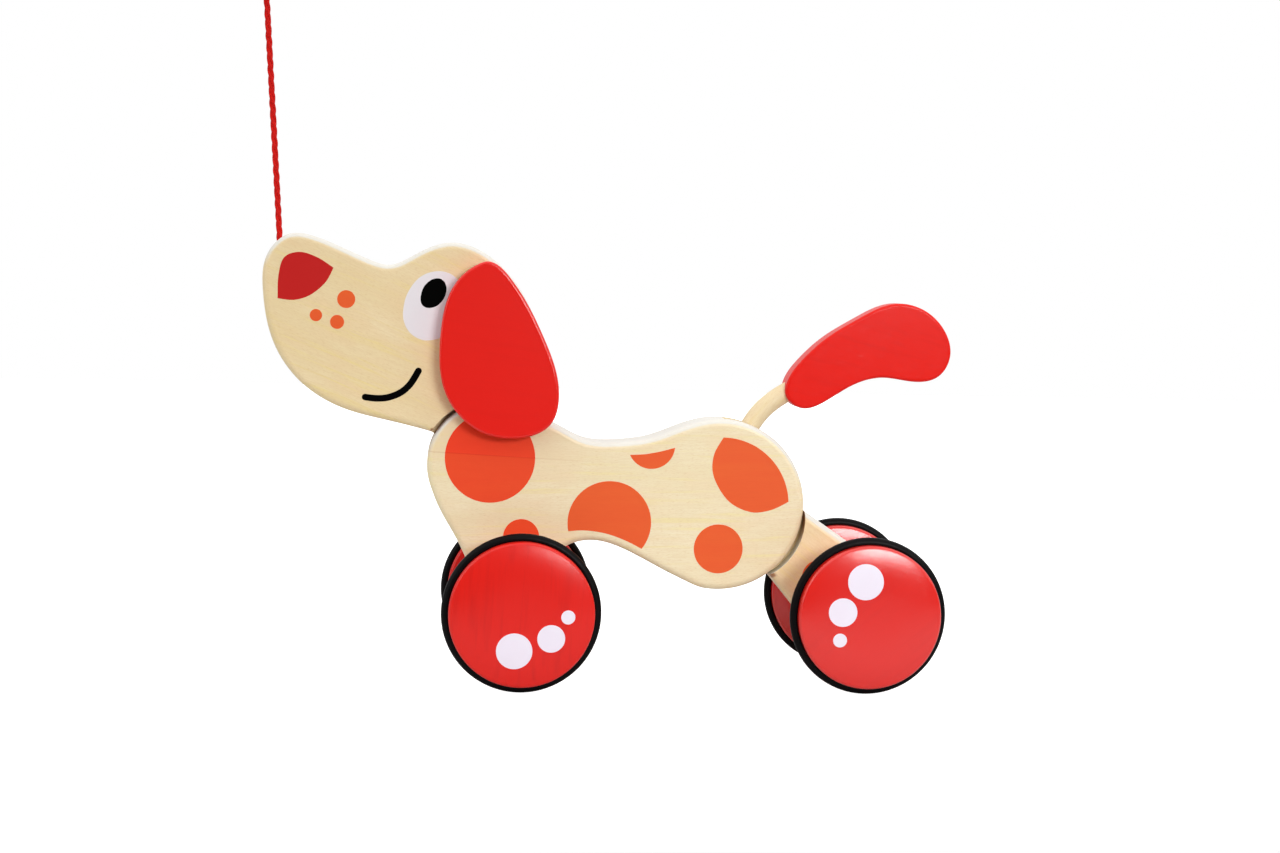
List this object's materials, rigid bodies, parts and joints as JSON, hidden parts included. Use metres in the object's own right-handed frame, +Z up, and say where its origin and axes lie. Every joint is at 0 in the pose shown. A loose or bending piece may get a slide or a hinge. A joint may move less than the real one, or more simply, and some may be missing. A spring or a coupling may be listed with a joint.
{
  "type": "pull along toy",
  "caption": "Wooden pull-along puppy with a nodding head, swinging ears, a hinged hind leg that carries the tail, rubber-tyred wheels and a pull cord.",
  "frame": {"origin": "on the floor, below the middle of the toy's length and width, without the pull cord", "axes": "+X from the nose to the tail, +Y to the toy's right side, +Z up"},
  "size_m": [0.3372, 0.0928, 0.3516],
  "materials": {
    "natural_wood": "clear satin varnish, fine grain",
    "dowel_wood": "sanded, unvarnished",
    "tail_rod_wood": "smooth satin varnish",
    "red_lacquer": "gloss lacquer over wood",
    "black_rubber": "soft satin",
    "red_cord": "twisted cord"
  },
  "bodies": {
    "torso": {"side_plate_left": "natural_wood", "side_plate_right": "natural_wood", "body_core": "natural_wood", "plate_dowels": "dowel_wood", "neck_pin": "dowel_wood", "hip_pin": "dowel_wood"},
    "head": {"head_board": "natural_wood", "pull_cord": "red_cord", "pull_ball": "red_lacquer", "cord_knot": "red_cord"},
    "ears": {"ear_left": "red_lacquer", "ear_right": "red_lacquer", "ear_dowel": "dowel_wood"},
    "hind_leg": {"hind_leg": "natural_wood", "tail_rod": "tail_rod_wood", "tail_paddle": "red_lacquer"},
    "front_wheels": {"front_axle": "dowel_wood", "front_wheel_left": "red_lacquer", "front_tyre_left": "black_rubber", "front_spacer_left": "dowel_wood", "front_wheel_right": "red_lacquer", "front_tyre_right": "black_rubber", "front_spacer_right": "dowel_wood"},
    "rear_wheels": {"rear_axle": "dowel_wood", "rear_wheel_left": "red_lacquer", "rear_tyre_left": "black_rubber", "rear_spacer_left": "dowel_wood", "rear_wheel_right": "red_lacquer", "rear_tyre_right": "black_rubber", "rear_spacer_right": "dowel_wood"}
  },
  "joints": [
    {"name": "neck_nod", "type": "hinge", "parent": "torso", "child": "head", "pos_m": [-0.0559, 0, 0.1014], "axis": [0, 1, 0], "range_deg": [-40, 12]},
    {"name": "ear_swing", "type": "hinge", "parent": "head", "child": "ears", "pos_m": [-0.0547, 0, 0.181], "axis": [0, 1, 0], "continuous": true},
    {"name": "hip_turn", "type": "hinge", "parent": "torso", "child": "hind_leg", "pos_m": [0.0516, 0, 0.0843], "axis": [0, 1, 0], "range_deg": [-12, 35]},
    {"name": "front_axle_spin", "type": "hinge", "parent": "torso", "child": "front_wheels", "pos_m": [-0.0415, 0, 0.0365], "axis": [0, 1, 0], "continuous": true},
    {"name": "rear_axle_spin", "type": "hinge", "parent": "hind_leg", "child": "rear_wheels", "pos_m": [0.1185, 0, 0.0365], "axis": [0, 1, 0], "continuous": true}
  ]
}
